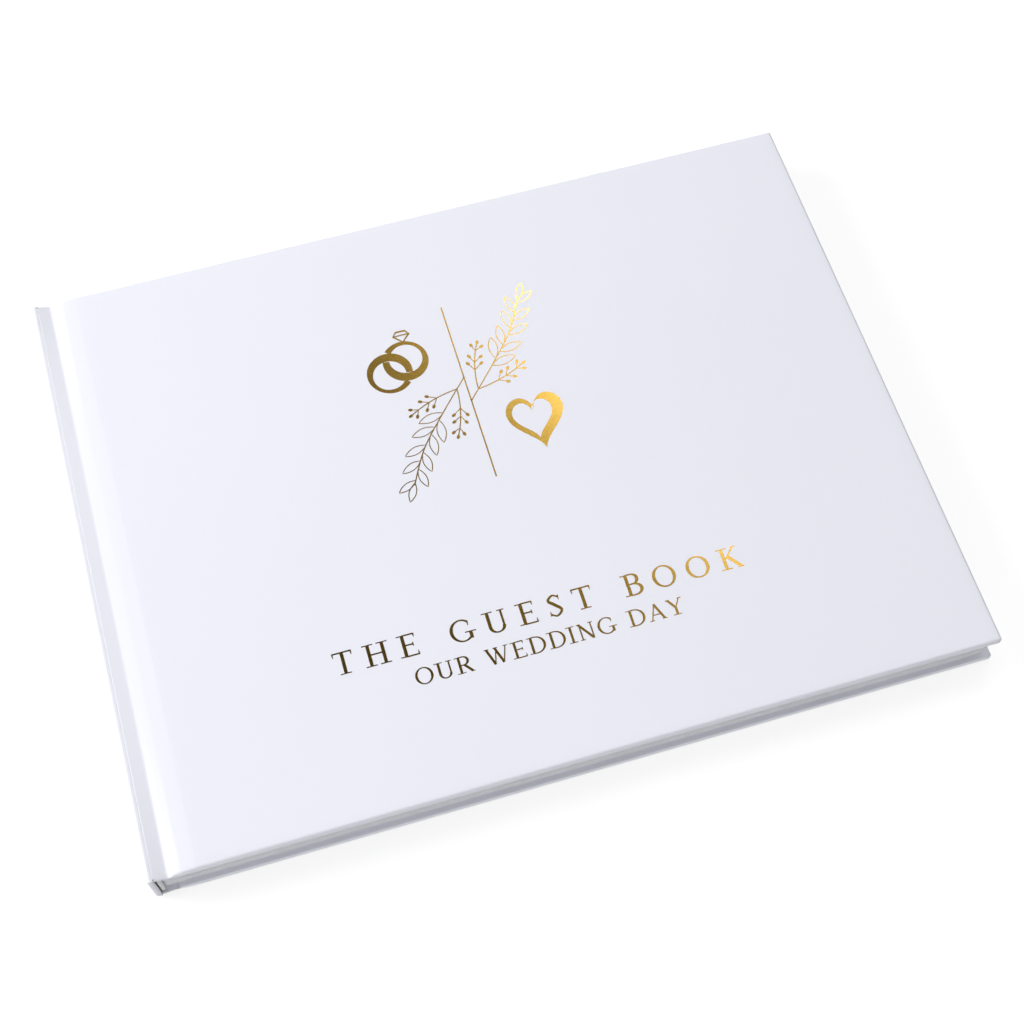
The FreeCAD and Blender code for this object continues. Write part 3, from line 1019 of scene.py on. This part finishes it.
def letter(name):
    """(strokes, width of the letter)."""
    if name == "I":
        return stem(0.15), 0.3
    if name == "A":
        serifs = [([(x - 0.11, 0.02), (x + 0.11, 0.02)], SERIF) for x in (0.1, 0.7)]
        return (slant((0.1, 0.02), (0.4, 1.0), THIN) + slant((0.38, 0.98), (0.7, 0.02), STEM)
                + slant((0.2, 0.34), (0.59, 0.34), THIN) + serifs), 0.8
    if name == "R":
        closing = [([(0.16, y), (0.36, y)], THIN) for y in (0.49, 0.98)]
        leg = slant((0.36, 0.5), (0.68, 0.03), STEM) + [([(0.62, 0.02), (0.78, 0.02)], SERIF)]
        return stem(0.16) + closing + bowl((0.34, 0.735), 0.23, 0.245, -92, 92) + leg, 0.76
    if name == "Y":
        serifs = [([(x - 0.1, 0.98), (x + 0.1, 0.98)], SERIF) for x in (0.1, 0.66)]
        return (stem(0.39, 0.0, 0.46, feet=(True, False)) + slant((0.11, 0.97), (0.4, 0.44), STEM)
                + slant((0.65, 0.97), (0.38, 0.44), THIN) + serifs), 0.76
    if name == "E":
        bars = [([(0.16, y), (x, y)], THIN) for y, x in ((0.02, 0.6), (0.52, 0.48), (0.98, 0.56))]
        ticks = tick(0.6, 0.0, 0.2) + tick(0.56, 1.0, -0.18) + [([(0.48, 0.43), (0.48, 0.61)], SERIF)]
        return stem(0.16) + bars + ticks, 0.64
    if name == "T":
        bar = [([(0.02, 0.98), (0.68, 0.98)], THIN)]
        return stem(0.35, feet=(True, False)) + bar + tick(0.03, 1.0, -0.2) + tick(0.67, 1.0, -0.2), 0.7
    if name == "H":
        return stem(0.16) + stem(0.66) + [([(0.16, 0.52), (0.66, 0.52)], THIN)], 0.82
    if name == "N":
        return (stem(0.15, width=THIN * 1.2, feet=(True, False))
                + stem(0.68, width=THIN * 1.2, feet=(False, True))
                + slant((0.12, 0.98), (0.67, 0.02), STEM) + [([(0.02, 0.982), (0.2, 0.982)], SERIF)]), 0.8
    if name == "W":
        serifs = [([(x - 0.11, 0.982), (x + 0.11, 0.982)], SERIF) for x in (0.1, 0.52, 1.0)]
        return (slant((0.1, 0.98), (0.36, 0.02), STEM) + slant((0.54, 0.9), (0.36, 0.02), THIN)
                + slant((0.5, 0.98), (0.76, 0.02), STEM) + slant((1.0, 0.98), (0.76, 0.02), THIN)
                + serifs), 1.1
    if name == "K":
        serifs = [([(x - 0.1, y), (x + 0.1, y)], SERIF) for x, y in ((0.6, 0.982), (0.68, 0.018))]
        arms = slant((0.6, 0.98), (0.18, 0.44), THIN) + slant((0.31, 0.6), (0.68, 0.02), STEM)
        return stem(0.16) + arms + serifs, 0.78
    if name == "O":
        return [(arc((0.42, 0.5), 0.36, 0.48, 0, 354, 60),
                 lambda t: THIN + (STEM - THIN) * math.cos(math.tau * t) ** 2, True)], 0.84
    if name == "D":
        closing = [([(0.16, 0.98), (0.36, 0.98)], THIN), ([(0.16, 0.02), (0.36, 0.02)], THIN)]
        return stem(0.16) + closing + bowl((0.34, 0.5), 0.4, 0.48, -92, 92), 0.8
    if name == "B":
        closing = [([(0.16, y), (0.36, y)], THIN) for y in (0.02, 0.53, 0.98)]
        return (stem(0.16) + closing + bowl((0.34, 0.755), 0.2, 0.225, -92, 92)
                + bowl((0.34, 0.275), 0.26, 0.255, -92, 92)), 0.66
    if name == "G":
        foot = stem(0.72, 0.08, 0.42, feet=(False, True))
        return bowl((0.44, 0.5), 0.37, 0.48, 48, 318) + tick(0.69, 0.9, -0.22) + foot, 0.86
    if name == "U":
        bottom = bowl((0.4, 0.3), 0.245, 0.28, 182, 358)
        right = stem(0.645, 0.28, width=THIN * 1.4, feet=(False, True))
        return stem(0.155, 0.28, feet=(False, True)) + right + bottom, 0.8
    if name == "S":
        path = curve([(0.46, 0.86), (0.28, 0.975), (0.1, 0.77), (0.27, 0.55),
                      (0.47, 0.26), (0.27, 0.025), (0.07, 0.15)], 8)
        spine = [(path, lambda t: THIN + (STEM - THIN) * math.sin(math.pi * t) ** 2)]
        return spine + tick(0.47, 0.95, -0.22) + tick(0.07, 0.06, 0.22), 0.55
    raise KeyError(name)


def text_width(words, tracking):
    letters = [0.34 if c == " " else letter(c)[1] for c in words]
    return WIDE * sum(letters) + tracking * (len(words) - 1)


def line_of_text(name, words, middle_y, height, length):
    """A centred line of capitals, letter-spaced to fill a length."""
    base = text_width(words, 0.0)
    tracking = (length / height - base) / (len(words) - 1)
    stamp = Stamp(name)
    pen = -length / 2
    for character in words:
        if character != " ":
            strokes, width = letter(character)
            for path, thick, *closed in strokes:
                placed = [(pen + x * height * WIDE, middle_y + (y - 0.5) * height) for x, y in path]
                scaled = (lambda t, thick=thick: thick(t) * height) if callable(thick) else thick * height
                stamp.stroke(placed, scaled, closed=bool(closed))
            pen += width * height * WIDE
        else:
            pen += 0.34 * height * WIDE
        pen += tracking * height
    stamp.finished()
    print(f"{words}: {length} mm long, {height} mm high, {tracking * height:.2f} mm between letters")


line_of_text("foil_title", "THE GUEST BOOK", -56.65, 7.9, 141.0)
line_of_text("foil_second_line", "OUR WEDDING DAY", -68.35, 5.9, 92.0)

# %% [markdown]
# ## Pieces of the model that stay
# The spine board, linings, cloth and thread keep the model's own shape and get their finish here.

# %% Finish the hidden pieces
KEPT = {
    "spine_board": board_grey,
    "spine_lining": kraft, "crash_cloth": crash, "front_cloth_flap": crash, "back_cloth_flap": crash,
    "sewing_thread": linen,
}
for node, finish in KEPT.items():
    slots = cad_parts[node].material_slots
    if not slots:
        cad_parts[node].data.materials.append(finish.material)
    for place in slots:
        place.material = finish.material
print("kept:", ", ".join(KEPT))

# %% [markdown]
# ## Studio
# The book lies on a pale table, a stand-in for a white studio sweep: it glows a little, so the ground
# stays white and nearly shadowless, and it throws no light back on the book. Big soft lights give the
# covering its even white. The foil needs more care: it is a mirror, and a glow in the sky behind the
# fore edge and head gives it a bright end and a dark end.

# %% Table
floor_mesh = bpy.data.meshes.new("table_top")
REACH = 6.0
floor_corners = [(-REACH, -REACH, 0), (REACH, -REACH, 0), (REACH, REACH, 0), (-REACH, REACH, 0)]
floor_mesh.from_pydata(floor_corners, [], [(0, 1, 2, 3)])
table = bpy.data.objects.new("table_top", floor_mesh)
bpy.context.scene.collection.objects.link(table)
table.location.z = -0.0002
table_white = Finish("table_white", (0.3, 0.3, 0.3), 0.9)
table_white.tint(table_white.noise(3.0), (0.29, 0.29, 0.29), (0.31, 0.31, 0.31))
table_white.shader.inputs["Specular IOR Level"].default_value = 0.0
table_white.shader.inputs["Emission Color"].default_value = (1, 1, 1, 1)
table_white.shader.inputs["Emission Strength"].default_value = 0.8
floor_mesh.materials.append(table_white.material)
table.visible_diffuse = False
print("table ready")

# %% [markdown]
# The camera stands at the tail, a little to the spine's side, and looks down steeply. It is placed by
# where it aims, its heading, its elevation and its distance, and the direction sets its rotation.

# %% Camera
AIM = Vector((1.25, -19.25, TOP)) * MM
HEADING = math.radians(16.44)
ELEVATION = math.radians(63.28)
DISTANCE = 0.5789
level = math.cos(ELEVATION)
back = Vector((-math.sin(HEADING) * level, -math.cos(HEADING) * level, math.sin(ELEVATION)))
camera_data = bpy.data.cameras.new("camera")
camera = bpy.data.objects.new("camera", camera_data)
bpy.context.scene.collection.objects.link(camera)
camera.location = AIM + back * DISTANCE
camera.rotation_mode = "QUATERNION"
camera.rotation_quaternion = (-back).to_track_quat("-Z", "Y")
camera_data.sensor_width = 36.0
camera_data.lens = 59.64
camera_data.clip_start = 0.01
bpy.context.scene.camera = camera
print("camera at", [round(c, 3) for c in camera.location])

# %% [markdown]
# A large disk lamp throws the soft light of a studio softbox. The strongest stands low at the spine's
# side and shades the pressed joint. The sky is nearly dark, with one narrow bright glow that only a
# mirror shows clearly, so it lights the foil and hardly touches the paper.

# %% Lights


def softbox(name, direction, distance, size, watts, seen_in_foil=False):
    data = bpy.data.lights.new(name, "AREA")
    data.shape = "DISK"
    data.size = size
    data.energy = watts
    lamp = bpy.data.objects.new(name, data)
    bpy.context.scene.collection.objects.link(lamp)
    way = Vector(direction).normalized()
    lamp.location = way * distance
    lamp.rotation_mode = "QUATERNION"
    lamp.rotation_quaternion = (-way).to_track_quat("-Z", "Y")
    lamp.visible_glossy = seen_in_foil
    return lamp


softbox("key_left", (-0.9, 0.3, 0.46), 2.0, 1.3, 41, seen_in_foil=True)
softbox("top", (0.1, 0.7, 1.0), 2.2, 1.6, 14)
softbox("low_front", (-0.2, -1.0, 0.2), 1.6, 1.6, 18)

world = bpy.data.worlds.new("studio")
bpy.context.scene.world = world
world.use_nodes = True
nodes, links = world.node_tree.nodes, world.node_tree.links
sky = nodes["Background"]
direction = nodes.new("ShaderNodeTexCoord")
towards = nodes.new("ShaderNodeVectorMath")
towards.operation = "DOT_PRODUCT"
GLOW = Vector((0.534, 0.582, 0.6135)).normalized()
towards.inputs[1].default_value = GLOW
links.new(direction.outputs["Generated"], towards.inputs[0])
glow = nodes.new("ShaderNodeValToRGB")
glow.color_ramp.interpolation = "LINEAR"
stops = ((0.0, 0.1), (0.78, 0.05), (0.84, 0.08), (0.866, 0.17), (0.878, 0.28), (0.888, 0.38),
         (0.896, 0.6), (0.905, 1.5), (0.915, 4.5), (0.928, 4.5), (0.945, 0.3), (1.0, 0.3))
for position, level in stops[1:-1]:
    glow.color_ramp.elements.new(position)
for element, (position, level) in zip(glow.color_ramp.elements, stops):
    element.position = position
    element.color = (level, level, level, 1.0)
links.new(towards.outputs["Value"], glow.inputs["Fac"])
links.new(glow.outputs["Color"], sky.inputs["Color"])
sky.inputs["Strength"].default_value = 1.0
bpy.context.scene.view_settings.view_transform = "Standard"
print("three softboxes and a glow")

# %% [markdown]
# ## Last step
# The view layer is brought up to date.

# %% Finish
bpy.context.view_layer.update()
